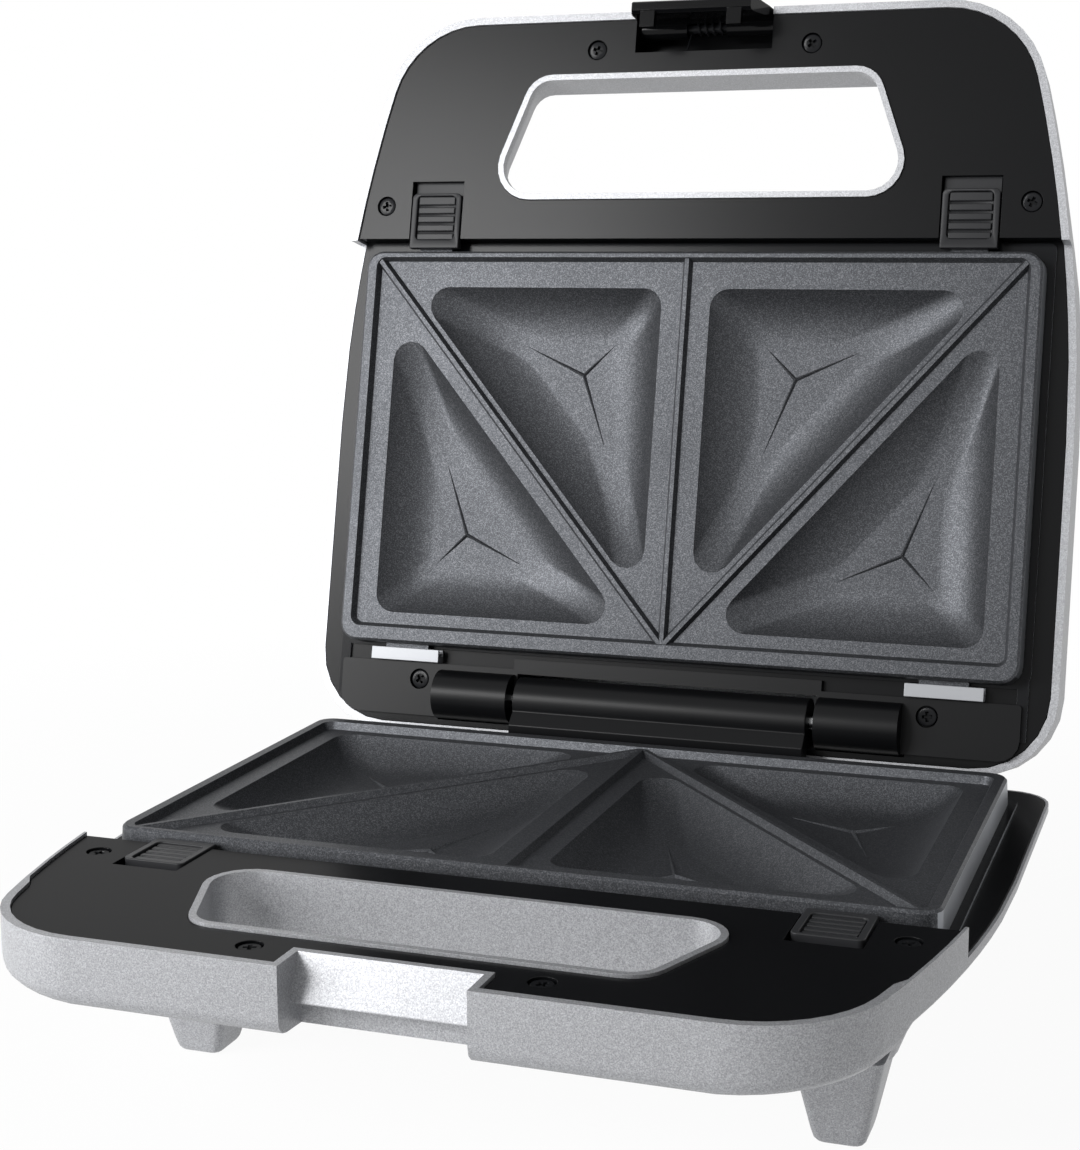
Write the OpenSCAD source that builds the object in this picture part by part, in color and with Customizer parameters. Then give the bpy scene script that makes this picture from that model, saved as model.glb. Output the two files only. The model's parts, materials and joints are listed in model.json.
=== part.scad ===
// Sandwich toaster with a hinged lid, two plates with triangular pockets, a hooked latch
// lever and four plate-release buttons. Millimetres, +Z up, drawn open.
// Each half is first drawn as if shut: Y = 0 at the plates' front rims, Z = 0 where they meet,
// and -Z runs into the half. The lid's half is then mirrored and swung open on the hinge.

/* [Body] */
// overall width of both shells
body_w = 260; // [256:1:266]
// front edge of the handle ahead of the plates' front rims
front_reach = 83.5; // [82:0.5:86]
// wall of both shells
shell_wall = 2.5; // [2.2:0.1:2.8]
// underside of the lower shell below the parting plane
belly_drop = 46; // [45:1:52]
// top of the lid above the parting plane
lid_rise = 38; // [36:1:44]
// height of the band round the handle, in each half
band_h = 18; // [17:0.5:19]
// feet, from the underside of the lower shell to the floor
foot_h = 20; // [14:1:26]
// thickness of the black inner covers
cover_t = 2.2; // [2:0.1:2.4]

/* [Handle] */
// width over the ring of the handle opening at its front edge
grip_front_w = 122.6; // [116:0.2:126]
// width over the ring of the handle opening at its rear edge
grip_rear_w = 144.4; // [138:0.2:148]
// handle opening from front to rear, over its ring
grip_d = 43.9; // [42:0.1:44.6]
// width of the ring round the handle opening
ring_w = 2; // [1.5:0.1:2.5]
// how far the lid's opening widens to each side towards the outside
grip_flare = 5; // [3:0.5:6]

/* [Plates] */
// from a plate's rim to the side of the shells
side_margin = 12; // [11:0.5:15]
// depth over a plate's rim
plate_d = 138.5; // [137:0.5:140]
// pocket floor below the parting plane
pocket_depth = 12; // [10:0.5:13]
// wall of the cast plates
plate_wall = 3; // [2.5:0.1:3.2]
// height of the dividing ridges above the plate's border
ridge_h = 2; // [1.4:0.1:2.3]
// corner radius of the pockets
pocket_r = 6.5; // [5:0.5:7.5]

/* [Heating] */
// diameter of the tubular heating element
element_d = 6.5; // [6:0.1:7]

/* [Hinge] */
// hinge barrel diameter
barrel_d = 16; // [15:0.1:16.4]
// hinge barrel length
barrel_l = 102; // [96:1:104]
// hinge pin diameter
hinge_pin_d = 5; // [4:0.1:6]
// how far the lid stands open
open_angle = 103; // [96:1:104]

/* [Latch] */
// width of the latch lever
latch_w = 47; // [44:1:50]
// latch pin diameter
latch_pin_d = 3; // [2.5:0.1:3.4]

/* [Plate release] */
// width of a release button
button_w = 18.6; // [17:0.2:19.4]
// travel of a release button
button_travel = 4; // [3:0.5:4.5]

/* [Cord inlet] */
// bore of the cord grommet
cord_d = 7.2; // [6.4:0.1:8]

/* [Fits] */
// gap between pieces that must not touch
gap = 0.3; // [0.25:0.05:0.4]
// radial clearance of the pins
pin_fit = 0.05; // [0.02:0.01:0.08]

/* [Hidden] */
$fn = 48;
plate_w = body_w - 2 * side_margin;
deck_z = 1.5;
cover_z = deck_z + 0.8;
flange_z = 9.5;
rim_z = 0.2;
border_z = 2.7;
under_z = deck_z + band_h;
brim_z = flange_z + cover_t + 1.3;
tray_t = 1;
// silver edge round the black covers: at the handle, in the lower half beside the plate
lip = 2.5;
side_lip = 0.9;
slip = 0.2;
fy = -front_reach;
hinge_y = plate_d + 17;
hinge_z = 7;
pin_r = hinge_pin_d / 2;
base_back = hinge_y - 2.5;
belly_back = hinge_y - 9.5;
lid_back = hinge_y + 13.5;
grip_front = fy + 21.1;
grip_rear = grip_front + grip_d;
deck_back = -4.8;
belly_front = grip_rear + 0.9;
belly_x = body_w / 2 - 13;
base_x = body_w / 2 - 23;
split_h = belly_drop + foot_h;
// plan of the shells: a straight front, a tight corner, then a long shallow side arc
corner_r = 34;
lean = 14.5;
corner_x = body_w / 2 - 48;
corner_y = fy + corner_r;
side_end = [corner_x + corner_r * cos(lean), corner_y - corner_r * sin(lean)];
side_r = (body_w / 2 - side_end[0]) / (1 - cos(lean));
side_y = side_end[1] + side_r * sin(lean);
side_ys = [-48, -44, -30, -18, -4, 8, 20, 34, side_y];
nc = 8;
ns = len(side_ys);
nr = 6;
n_rim = nc + 1 + ns + nr + 1;
// heating element and the tray below it
element_z = pocket_depth + plate_wall + gap + element_d / 2;
dish_z = element_z + element_d / 2 + 2;
tray_x = plate_w / 2 + 3;
tray_front = deck_back + 0.5;
tray_back = plate_d + 1.5;
dish_x = plate_w / 2 - 6;
// release buttons
button_x = plate_w / 2 - 24.4;
slot_x = button_w / 2 + 0.5;
button_front = -21;
slot_front = button_front - button_travel - gap;
slot_z = 10.6;
tongue_z = cover_z + cover_t + gap;
coil_r = 1.5;
spring_z = tongue_z + 3;
spring_front = slot_front - 13;
// latch
latch_y = fy + 4.7;
latch_z = 8.5;
latch_r = latch_pin_d / 2;
recess_x = latch_w / 2 + 0.5;
house_back = fy + 14;
house_top = 15.4;
catch_top = 12.6;
catch_under = 13;
// screws: head, shank and the places they go
head_r = 3.2;
shank_r = 1.5;
sink_z = deck_z + 3.2;
boss_z = deck_z + 4.7;
deck_screws = [[37.7, fy + 12.7], [body_w / 2 - 17, -16.6]];
// lid knuckles on the hinge
knuckle_in = barrel_l / 2 + 2.5;
knuckle_out = knuckle_in + 27.5;
panel_screw = [knuckle_out + 8, hinge_y - 4.7];
// feet: place of the front one, distance of the rear one from it, half sizes of the sole
foot_at = [body_w / 2 - 36.6, 7.2];
foot_step = plate_d - 21;
sole_x = 6.6;
sole_y = 7.2;
stop_y = hinge_y + (lid_back - hinge_y) * cos(open_angle)
    + (flange_z - hinge_z) * sin(open_angle) - gap;
// where the open lid reaches furthest back, for centring the part
function swing_y(y, z) = hinge_y + (y - hinge_y) * cos(open_angle) + (z - hinge_z) * sin(open_angle);
reach_back = swing_y(fy + 5, under_z - 5) + 5;
origin_y = (fy + reach_back) / 2;
cord_x = body_w / 2 - 50;
cord_z = belly_drop - 16;

// Shapes shared by several pieces

function arc(c, r, a0, a1, n) =
    [for (i = [0:n]) let (a = a0 + (a1 - a0) * i / n) [c[0] + r * cos(a), c[1] + r * sin(a)]];

function ramp(v, v0, v1, a, b) = a + (b - a) * max(0, min(1, (v - v0) / (v1 - v0)));

function ease(t) = t * t * (3 - 2 * t);

// point i of the right half of a shell's plan, set in by d
function rim_point(i, d, back, back_r) =
    i <= nc ? let (a = -90 + (90 - lean) * i / nc)
        [corner_x + (corner_r - d) * cos(a), corner_y + (corner_r - d) * sin(a)]
    : i <= nc + ns ? let (y = side_ys[i - nc - 1])
        [body_w / 2 - side_r + sqrt(pow(side_r - d, 2) - pow(side_y - y, 2)), y]
    : let (a = 90 * (i - nc - ns - 1) / nr)
        [body_w / 2 - back_r + (back_r - d) * cos(a), back - back_r + (back_r - d) * sin(a)];

function rim_half(d, back, back_r) = [for (i = [0:n_rim - 1]) rim_point(i, d, back, back_r)];

// the same, set in by the silver edge and d more; the edge narrows to w behind the handle
function lip_half(d, back, back_r, w) = [for (i = [0:n_rim - 1])
    rim_point(i, d + ramp(rim_point(i, 0, back, back_r)[1], -48, -44, lip, w), back, back_r)];

// a closed plan from its right half
function both_sides(half) = concat(half, [for (i = [len(half) - 1:-1:0]) [-half[i][0], half[i][1]]]);

function at_z(half, z) = [for (p = half) [p[0], p[1], z]];

// right half of a rounded rectangle
function rect_half(x, y0, y1, r0, r1, n) =
    concat(arc([x - r0, y0 + r0], r0, -90, 0, n), arc([x - r1, y1 - r1], r1, 0, 90, n));

// solid through mirrored half rings, the first on top, closed by strips from side to side
module loft(halves) {
    n = len(halves[0]);
    m = 2 * n;
    last = (len(halves) - 1) * m;
    points = [for (h = halves) each concat(h, [for (i = [n - 1:-1:0]) [-h[i][0], h[i][1], h[i][2]]])];
    sides = [for (k = [0:len(halves) - 2]) for (j = [0:m - 1])
        let (a = k * m + j, b = k * m + (j + 1) % m) each [[a, b, b + m], [a, b + m, a + m]]];
    caps = [for (i = [0:n - 2]) each [
        [i, m - 1 - i, m - 2 - i, i + 1],
        [last + i, last + i + 1, last + m - 2 - i, last + m - 1 - i]]];
    polyhedron(points, concat(sides, caps), convexity = 8);
}

// solid through closed flat rings, the first on top
module stack(rings) {
    m = len(rings[0]);
    last = (len(rings) - 1) * m;
    sides = [for (k = [0:len(rings) - 2]) for (j = [0:m - 1])
        let (a = k * m + j, b = k * m + (j + 1) % m) each [[a, b, b + m], [a, b + m, a + m]]];
    caps = [[for (j = [m - 1:-1:0]) j], [for (j = [0:m - 1]) last + j]];
    polyhedron([for (r = rings) each r], concat(sides, caps), convexity = 8);
}

function unit(v) = v / norm(v);

// round wire along a path; ref is any direction the path never runs along
module wire(path, r, ref, sides = 6) {
    n = len(path);
    rings = [for (i = [0:n - 1])
        let (t = unit(path[min(n - 1, i + 1)] - path[max(0, i - 1)]), u = unit(cross(t, ref)), v = cross(t, u))
        [for (j = [0:sides - 1]) path[i] + r * (u * cos(360 * j / sides) + v * sin(360 * j / sides))]];
    faces = [for (k = [0:n - 2]) for (j = [0:sides - 1])
        let (a = k * sides + j, b = k * sides + (j + 1) % sides) each [[a, b, b + sides], [a, b + sides, a + sides]]];
    caps = [[for (j = [sides - 1:-1:0]) j], [for (j = [0:sides - 1]) (n - 1) * sides + j]];
    polyhedron([for (r = rings) each r], concat(faces, caps), convexity = 8);
}

module along_x(x0, x1) {
    translate([x0, 0, 0])
        rotate([90, 0, 90])
            linear_extrude(x1 - x0)
                children();
}

module rod_x(x0, x1, y, z, r) {
    along_x(x0, x1)
        translate([y, z])
            circle(r);
}

module rod_y(x, y0, y1, z, r) {
    translate([x, y0, z])
        rotate([-90, 0, 0])
            cylinder(r = r, h = y1 - y0);
}

module rod_z(p, z0, z1, r) {
    translate([p[0], p[1], z0])
        cylinder(r = r, h = z1 - z0);
}

module block(x0, x1, y0, y1, z0, z1) {
    translate([x0, y0, z0])
        cube([x1 - x0, y1 - y0, z1 - z0]);
}

module sheet(half, z0, z1) {
    translate([0, 0, z0])
        linear_extrude(z1 - z0)
            polygon(both_sides(half));
}

module two_sides() {
    children();
    mirror([1, 0, 0])
        children();
}

// The two halves' places

module lower() {
    translate([0, -origin_y, split_h])
        children();
}

module lid_frame() {
    lower()
        translate([0, hinge_y, hinge_z])
            rotate([-open_angle, 0, 0])
                translate([0, -hinge_y, -hinge_z])
                    children();
}

module upper() {
    lid_frame()
        mirror([0, 0, 1])
            children();
}

// Shells

// outline of the ring round the handle opening, grown by d and widened by more
function grip_half(d, more = 0) = concat(
    arc([grip_front_w / 2 - 8 + more, grip_front + 10], 10 + d, -90, -18, 5),
    arc([grip_rear_w / 2 - 13 + more, grip_rear - 12], 12 + d, -18, 90, 7));

// block through a half along that outline, flared by more at the outside
module grip_block(d, more, top) {
    loft([at_z(grip_half(d), top), at_z(grip_half(d), -cover_z - cover_t - gap),
        at_z(grip_half(d, more), -under_z), at_z(grip_half(d, more), -60)]);
}

// underside of the lower shell's rim at a plan point, its edge radius and the top of the belly
function rim_under(p) = ramp(p[1], -48, -44, under_z - ramp(p[0], corner_x, side_end[0], 0, 2), brim_z);

function rim_edge(y) = ramp(y, -48, -44, 4.2, 1.2);

function belly_top(y) = ramp(y, -10, 24, under_z + 3.5, brim_z + 2);

function belly_half(d, x, y0, r0, r1) = [for (i = [0:n_rim - 1])
    i <= nc ? let (a = -90 + 90 * i / nc) [x - r0 + (r0 - d) * cos(a), y0 + r0 + (r0 - d) * sin(a)]
    : i <= nc + ns ? [x - d, y0 + r0 + (belly_back - r1 - y0 - r0) * (i - nc) / (ns + 1)]
    : let (a = 90 * (i - nc - ns - 1) / nr) [x - r1 + (r1 - d) * cos(a), belly_back - r1 + (r1 - d) * sin(a)]];

belly_rings = concat(
    [[for (p = belly_half(0, belly_x, belly_front, 22, 12)) [p[0], p[1], -belly_top(p[1])]]],
    [for (a = [0:30:90]) at_z(belly_half(6 * (1 - cos(a)), base_x, belly_front + 8, 22, 12),
        -belly_drop + 6 * (1 - sin(a)))]);

module base_outer() {
    rim = rim_half(0, base_back, 13);
    loft(concat(
        [at_z(rim, -deck_z)],
        [for (a = [0:30:90]) [for (i = [0:n_rim - 1])
            let (e = rim_edge(rim[i][1]), p = rim_point(i, e * (1 - cos(a)), base_back, 13))
            [p[0], p[1], -rim_under(rim[i]) + e * (1 - sin(a))]]],
        belly_rings));
}

module base_inner() {
    w = shell_wall;
    rim = rim_half(0, base_back, 13);
    plan = lip_half(0, base_back, 13, side_lip);
    low = lip_half(slip / 2, base_back, 13, side_lip);
    loft([
        at_z(plan, 1),
        [for (i = [0:n_rim - 1]) [plan[i][0], plan[i][1], -max(rim_under(rim[i]) - w, brim_z - 1.3) + 1]],
        [for (i = [0:n_rim - 1]) [low[i][0], low[i][1], -max(rim_under(rim[i]) - w, brim_z - 1.3)]],
        [for (p = belly_half(w, belly_x, belly_front, 22, 12)) [p[0], p[1], -belly_top(p[1]) + w]],
        at_z(belly_half(w, base_x, belly_front + 8, 22, 12), -belly_drop + 6),
        at_z(belly_half(w + 4, base_x, belly_front + 8, 22, 12), -belly_drop + w)]);
}

// side view of what the latch needs clear in the lower shell
function catch_cut(d) = [
    [fy - 10, 2], [fy + 11 + d, 2], [fy + 11 + d, -deck_z], [fy + 6.6 + d, -catch_top],
    [fy + 6.6 + d, -catch_under - d], [fy + 12.2 + d, -catch_under - d], [fy + 12.2 + d, -60], [fy - 10, -60]];

module base_shell() {
    color("silver")
    lower() {
        difference() {
            base_outer();
            difference() {
                base_inner();
                grip_block(0, 0, -deck_z);
                along_x(-recess_x - 2, recess_x + 2)
                    polygon([[fy - 10, -deck_z], [fy + 13, -deck_z], [fy + 13, -7], [fy + 14.2, -10],
                        [fy + 14.2, -60], [fy - 10, -60]]);
                two_sides() {
                    for (p = deck_screws)
                        rod_z(p, -60, -boss_z, 4);
                    rod_z([cord_x - 20, belly_back - 5.5], -60, -flange_z - cover_t, 2.8);
                }
            }
            grip_block(-ring_w, 0, 10);
            along_x(-recess_x, recess_x)
                polygon(catch_cut(0));
            block(-body_w, body_w, deck_back + 0.8, 200, -flange_z, 10);
            two_sides()
                for (p = deck_screws)
                    rod_z(p, -boss_z - 8, 0, shank_r + pin_fit);
            rod_y(cord_x, belly_back - 10, belly_back + 10, -cord_z, 6.4);
        }
        two_sides()
            block(plate_w / 2 - 22, plate_w / 2 - 14, base_back - side_lip / 2, stop_y, -brim_z + 0.5, -5.6);
    }
}

// depth of the lid's outside and its edge radius, front to back
function lid_top(y) = deck_z + band_h + (lid_rise - deck_z - band_h) * ease(ramp(y, -20, 15, 0, 1));

function lid_edge(y) = ramp(y, -20, 15, 5, 9);

module lid_body(d) {
    rim = rim_half(0, lid_back, 27);
    inset = d > 0 ? lip : 0;
    loft(concat(
        [at_z(rim_half(inset, lid_back, 27), d > 0 ? 1 : -deck_z)],
        [for (a = [0:30:90]) [for (i = [0:n_rim - 1])
            let (e = lid_edge(rim[i][1]) - d, p = rim_point(i, inset + e * (1 - cos(a)), lid_back, 27))
            [p[0], p[1], -lid_top(rim[i][1]) + d + e * (1 - sin(a))]]]));
}

module lid_shell() {
    color("silver")
    upper()
        difference() {
            lid_body(0);
            difference() {
                lid_body(shell_wall);
                grip_block(0, grip_flare, -deck_z);
                two_sides() {
                    for (p = deck_screws)
                        rod_z(p, -60, -boss_z, 4);
                    rod_z(panel_screw, -60, -flange_z - cover_t, 4);
                }
            }
            grip_block(-ring_w, grip_flare, 10);
            block(-recess_x, recess_x, fy - 10, fy + 4, -house_top, 10);
            block(-body_w, body_w, deck_back + 0.8, 200, -flange_z, 10);
            two_sides() {
                for (p = deck_screws)
                    rod_z(p, -boss_z - 8, 0, shank_r + pin_fit);
                rod_z(panel_screw, -flange_z - 10, 0, shank_r + pin_fit);
                rod_z([9, 26], -60, -20, 3.2);
            }
        }
}

// Black inner covers

module screw_seat(p) {
    rod_z(p, -boss_z, -cover_z - 1, head_r + 1.6);
}

module cover(back, back_r, w) {
    plan = lip_half(slip, back, back_r, w);
    difference() {
        union() {
            difference() {
                sheet(plan, -cover_z - cover_t, -cover_z);
                block(-body_w, body_w, deck_back, 300, -20, 10);
            }
            difference() {
                sheet(plan, -flange_z - cover_t, -cover_z);
                block(-body_w, body_w, -200, deck_back - cover_t, -20, 10);
                block(-body_w, body_w, deck_back, 300, -flange_z, 10);
            }
            two_sides() {
                for (p = deck_screws)
                    screw_seat(p);
                block(button_x - slot_x - 1.5, button_x + slot_x + 1.5, spring_front - 1.5, deck_back,
                    -slot_z - 1, -cover_z);
            }
            children();
        }
        sheet(grip_half(slip), -20, 10);
        sheet(rect_half(dish_x + gap, 2 - gap, plate_d - 3.5 + gap, 6, 6, 4), -20, 10);
        two_sides() {
            for (p = deck_screws) {
                rod_z(p, -20, 10, shank_r + slip);
                rod_z(p, -sink_z, 10, head_r + 0.3);
            }
            block(button_x - slot_x, button_x + slot_x, spring_front, deck_back + 1, -slot_z, -cover_z - cover_t);
            block(button_x - slot_x, button_x + slot_x, slot_front, deck_back + 1, -slot_z, 10);
        }
    }
}

module base_cover() {
    color("#1c1d20")
    lower()
        difference() {
            cover(base_back, 13, side_lip);
            block(-recess_x - 2 - slip, recess_x + 2 + slip, fy - 10, fy + 13 + slip, -20, 10);
        }
}

// box below the lid's cover that the latch lever hangs in
module latch_housing() {
    floor_z = under_z - shell_wall - slip;
    front = fy + lip + slip;
    along_x(-recess_x - 2.2, recess_x + 2.2)
        polygon([[front, -cover_z], [house_back + 2, -cover_z], [house_back + 2, -floor_z], [front + 2.8, -floor_z],
            [front, -floor_z + 2.8]]);
}

module lid_cover() {
    color("#1c1d20")
    upper()
        difference() {
            cover(lid_back, 27, lip)
                latch_housing();
            block(-recess_x, recess_x, fy - 10, house_back, -house_top, 10);
            rod_x(-recess_x - 1.5, recess_x + 1.5, latch_y, -latch_z, latch_r + pin_fit);
            block(-knuckle_out - 1, knuckle_out + 1, hinge_y - 9, hinge_y + 9, -20, 10);
            two_sides()
                rod_z(panel_screw, -20, 10, shank_r + slip);
        }
}

// Hinge

module base_hinge_bracket() {
    color("#202124")
    lower()
        difference() {
            union() {
                rod_x(-barrel_l / 2, barrel_l / 2, hinge_y, hinge_z, barrel_d / 2);
                along_x(-barrel_l / 2, barrel_l / 2)
                    polygon([[hinge_y - 12, -flange_z], [hinge_y - 5.5, -flange_z], [hinge_y - 3, hinge_z],
                        [hinge_y - 7, hinge_z - 1.5], [hinge_y - 12, hinge_z - 6]]);
            }
            rod_x(-knuckle_in, knuckle_in, hinge_y, hinge_z, pin_r + pin_fit);
        }
}

module hinge_pin() {
    color("#b9bcc0")
    lower()
        rod_x(-knuckle_out + 1.5, knuckle_out - 1.5, hinge_y, hinge_z, pin_r);
}

module lid_hinge_panel() {
    back = hinge_y + 8;
    color("#202124")
    upper()
        difference() {
            union() {
                sheet(rect_half(plate_w / 2 + 0.8, hinge_y - 10.5, back, 1, 7, 4), -flange_z + tray_t, -hinge_z);
                sheet(rect_half(plate_w / 2 - 1.5, hinge_y - 10.5, back, 1, 7, 4), -flange_z, -hinge_z);
                block(-knuckle_in - 0.5, knuckle_in + 0.5, hinge_y - 14, hinge_y - 10, -flange_z, -hinge_z);
                two_sides() {
                    rod_x(knuckle_in, knuckle_out, hinge_y, -hinge_z, barrel_d / 2 + 0.5);
                    block(knuckle_in, knuckle_out, hinge_y - 8.5, hinge_y + 8.5, -hinge_z - 4.5, -hinge_z);
                }
            }
            block(-barrel_l / 2 - 1.5, barrel_l / 2 + 1.5, hinge_y - 8.9, hinge_y + 20, -20, 5);
            rod_x(-knuckle_out + 1, knuckle_out - 1, hinge_y, -hinge_z, pin_r + pin_fit);
            two_sides()
                rod_z(panel_screw, -20, 10, head_r + 0.4);
        }
}

// Cooking plates

ridge_a = [plate_w / 2 - 5, 3.3];
ridge_b = [0, plate_d - 4.6];
ridge_n = unit([ridge_b[1] - ridge_a[1], ridge_a[0] - ridge_b[0]]);
ridge_c = ridge_n * ridge_b;
inner_x = 8.5;
inner_y = 12.3;
outer_x = plate_w / 2 - 12;
outer_y = plate_d - 10.5;
function on_slope_x(y, c) = (c - ridge_n[1] * y) / ridge_n[0];
function on_slope_y(x, c) = (c - ridge_n[0] * x) / ridge_n[1];
inner_pocket = [[inner_x, inner_y], [on_slope_x(inner_y, ridge_c - 3.2), inner_y],
    [inner_x, on_slope_y(inner_x, ridge_c - 3.2)]];
outer_pocket = [[outer_x, outer_y], [on_slope_x(outer_y, ridge_c + 6.2), outer_y],
    [outer_x, on_slope_y(outer_x, ridge_c + 6.2)]];

// a pocket falls steeply at its edge and sweeps out into its floor over most of its inner radius
sweep_p = 3.2;
sweep_share = 0.74;
pocket_drop = pocket_depth - border_z;
function in_r(t) = norm(t[0] - t[1]) * norm(t[0] - t[2])
    / (norm(t[0] - t[1]) + norm(t[0] - t[2]) + norm(t[1] - t[2]));
function sweep_w(t) = in_r(t) * sweep_share;
function sweep_at(t) = [for (i = [0:6]) sweep_w(t) * pow(i / 6, 1.6)];
function pocket_z(t, u) = -pocket_depth + pocket_drop * pow(1 - u / sweep_w(t), sweep_p);
function pocket_slope(t, u) =
    atan(pocket_drop * sweep_p / sweep_w(t) * pow(1 - u / sweep_w(t), sweep_p - 1));

// one rounded corner at q of a triangle set in by d, its sides coming from p and going to s
function corner_arc(p, q, s, d, r, n) =
    let (u = unit(p - q), v = unit(s - q), half = acos(u * v) / 2, c = q + unit(u + v) * (d + r) / sin(half),
        a0 = atan2(u[0], -u[1]))
    [for (i = [0:n]) let (a = a0 + (180 - 2 * half) * i / n) [c[0] + r * cos(a), c[1] + r * sin(a)]];

function tri_ring(t, d, z) = [for (k = [0:2])
    for (p = corner_arc(t[(k + 2) % 3], t[k], t[(k + 1) % 3], d, pocket_r, 5)) [p[0], p[1], z]];

module pocket_hollow(t) {
    stack(concat([tri_ring(t, -0.5, -border_z + 0.5)], [for (u = sweep_at(t)) tri_ring(t, u, pocket_z(t, u))]));
}

module pocket_bulge(t) {
    w = plate_wall;
    stack(concat([tri_ring(t, -2.4, -border_z - w / 2)], [for (u = sweep_at(t)) let (a = pocket_slope(t, u))
        tri_ring(t, u - w * sin(a), pocket_z(t, u) - w * cos(a))]));
}

function middle(t) =
    let (a = norm(t[1] - t[2]), b = norm(t[2] - t[0]), c = norm(t[0] - t[1]))
    (t[0] * a + t[1] * b + t[2] * c) / (a + b + c);

// three fine ribs that run from the middle of a pocket's floor towards its corners
module pocket_ribs(t) {
    m = middle(t);
    for (q = t) {
        e = m + (q - m) * 0.52;
        s = unit([m[1] - q[1], q[0] - m[0]]) * 0.9;
        z = -pocket_depth;
        polyhedron([[m[0] + s[0], m[1] + s[1], z - 0.3], [m[0] - s[0], m[1] - s[1], z - 0.3],
            [m[0], m[1], z + 0.8], [e[0], e[1], z - 0.1]],
            [[0, 2, 1], [0, 3, 2], [1, 2, 3], [0, 1, 3]]);
    }
}

module ridge(a, b, h) {
    run = norm(b - a);
    translate([a[0], a[1], -border_z])
        rotate([0, 0, atan2(b[1] - a[1], b[0] - a[0])])
            along_x(-3, run + 3)
                polygon([[-1.7, -0.5], [1.7, -0.5], [1.7, 0], [0.7, h], [-0.7, h], [-1.7, 0]]);
}

module plate() {
    x = plate_w / 2;
    difference() {
        union() {
            difference() {
                loft([
                    at_z(rect_half(x - 0.8, 0.8, plate_d - 0.8, 5.2, 5.2, 5), -rim_z),
                    at_z(rect_half(x, 0, plate_d, 6, 6, 5), -rim_z - 0.8),
                    at_z(rect_half(x + 0.4, -0.6, plate_d + 0.6, 6.4, 6.4, 5), -flange_z + tray_t)]);
                sheet(rect_half(x - 2, 2.2, plate_d - 2.2, 5, 5, 5), -20, -border_z - plate_wall);
            }
            two_sides() {
                pocket_bulge(inner_pocket);
                pocket_bulge(outer_pocket);
                block(button_x - 6, button_x + 6, -3, 1, -7, -4.8);
                block(x - 32, x - 16, plate_d - 1, plate_d + 2.5, -7.3, -5.6);
            }
        }
        difference() {
            loft([
                at_z(rect_half(x - 3.3, 1.6, plate_d - 4.6, 4, 4, 5), 1),
                at_z(rect_half(x - 3.8, 2.1, plate_d - 5.1, 3.5, 3.5, 5), -rim_z),
                at_z(rect_half(x - 5, 3.3, plate_d - 6.3, 2.5, 2.5, 5), -border_z)]);
            ridge([0, 3], [0, plate_d - 5], ridge_h);
            two_sides()
                ridge(ridge_a, ridge_b, ridge_h);
        }
        two_sides() {
            pocket_hollow(inner_pocket);
            pocket_hollow(outer_pocket);
        }
    }
    two_sides() {
        pocket_ribs(inner_pocket);
        pocket_ribs(outer_pocket);
    }
}

module lower_plate() {
    color("#63666b")
    lower()
        plate();
}

module upper_plate() {
    color("#63666b")
    upper()
        plate();
}

// Heating parts

loop_x = plate_w / 2 - 40;
loop_front = 30;
loop_back = plate_d - 26;
bend_r = 14;
end_x = 12;

module elbow(x, y, a) {
    translate([x, y, -element_z])
        rotate([0, 0, a])
            rotate_extrude(angle = 90)
                translate([bend_r, 0])
                    circle(element_d / 2);
}

module element() {
    r = element_d / 2;
    rod_x(-loop_x + bend_r, loop_x - bend_r, loop_front, -element_z, r);
    two_sides() {
        elbow(loop_x - bend_r, loop_front + bend_r, -90);
        rod_y(loop_x, loop_front + bend_r, loop_back - bend_r, -element_z, r);
        elbow(loop_x - bend_r, loop_back - bend_r, 0);
        rod_x(end_x + bend_r, loop_x - bend_r, loop_back, -element_z, r);
        elbow(end_x + bend_r, loop_back + bend_r, 180);
        rod_y(end_x, loop_back + bend_r, plate_d - 2, -element_z, r);
        rod_y(end_x, plate_d - 3, plate_d + 1.5, -element_z, 1.2);
    }
}

module heat_tray(arms) {
    difference() {
        union() {
            sheet(rect_half(tray_x, tray_front, tray_back, 2, 5, 4), -flange_z, -flange_z + tray_t);
            loft([
                at_z(rect_half(dish_x, 2, plate_d - 3.5, 6, 6, 4), -flange_z + tray_t / 2),
                at_z(rect_half(dish_x, 2, plate_d - 3.5, 6, 6, 4), -flange_z - cover_t - 1),
                at_z(rect_half(dish_x - 9, 9, plate_d - 10, 6, 6, 4), -dish_z - tray_t)]);
            if (arms)
                two_sides()
                    block(tray_x - 4, tray_x - 0.5, tray_back - 6, hinge_y + 1.5, -flange_z, -flange_z + tray_t);
        }
        loft([
            at_z(rect_half(dish_x - tray_t, 2 + tray_t, plate_d - 3.5 - tray_t, 5, 5, 4), 1),
            at_z(rect_half(dish_x - tray_t, 2 + tray_t, plate_d - 3.5 - tray_t, 5, 5, 4), -flange_z - cover_t - 1),
            at_z(rect_half(dish_x - 9 - tray_t, 9 + tray_t, plate_d - 10 - tray_t, 5, 5, 4), -dish_z)]);
        two_sides()
            rod_y(end_x, plate_d - 20, plate_d + 5, -element_z, element_d / 2 + gap);
    }
}

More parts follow.
